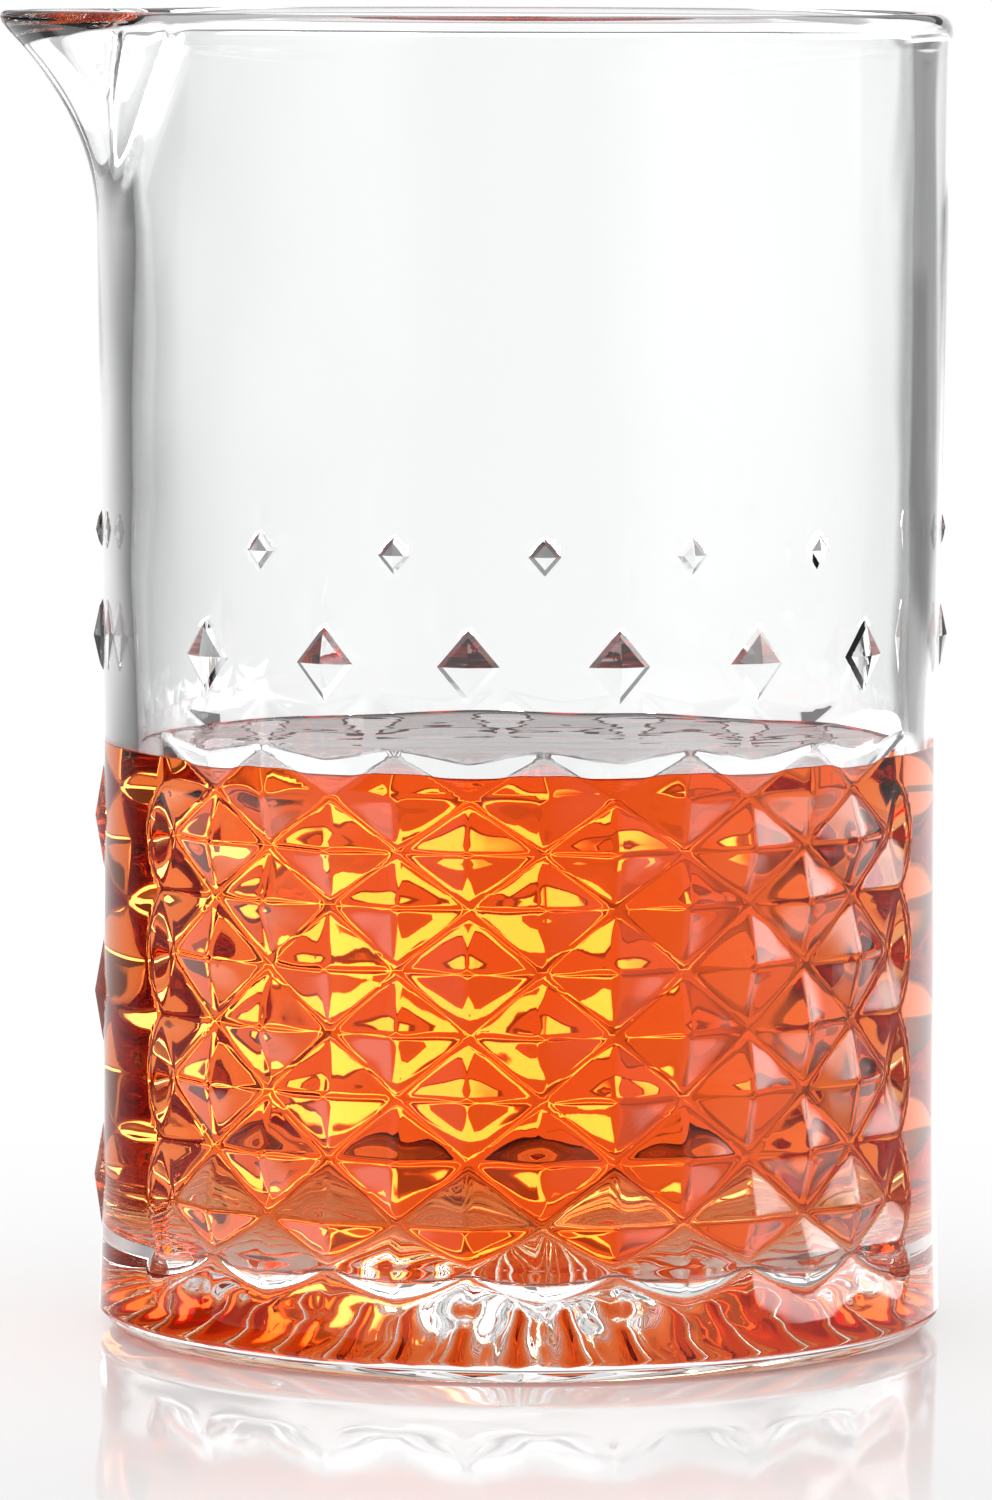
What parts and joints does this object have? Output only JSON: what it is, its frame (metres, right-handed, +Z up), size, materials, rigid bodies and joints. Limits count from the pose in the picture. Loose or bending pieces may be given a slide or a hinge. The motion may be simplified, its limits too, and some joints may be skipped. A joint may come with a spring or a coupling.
{
  "type": "mixing glass",
  "caption": "Straight-sided bar mixing glass with a pulled pouring spout, heavy base and pressed diamond relief, half full of an orange drink.",
  "frame": {"origin": "on the glass's axis, on the flat of its foot", "axes": "+Z up along the glass's axis; the spout points to -X; the middle of the front diamond panel faces -Y"},
  "size_m": [0.1081, 0.0976, 0.15],
  "materials": {
    "clear_glass": "fire-polished clear glass",
    "orange_drink": "clear orange liquid"
  },
  "bodies": {
    "root": {"glass_body": "clear_glass", "drink": "orange_drink"}
  },
  "joints": []
}
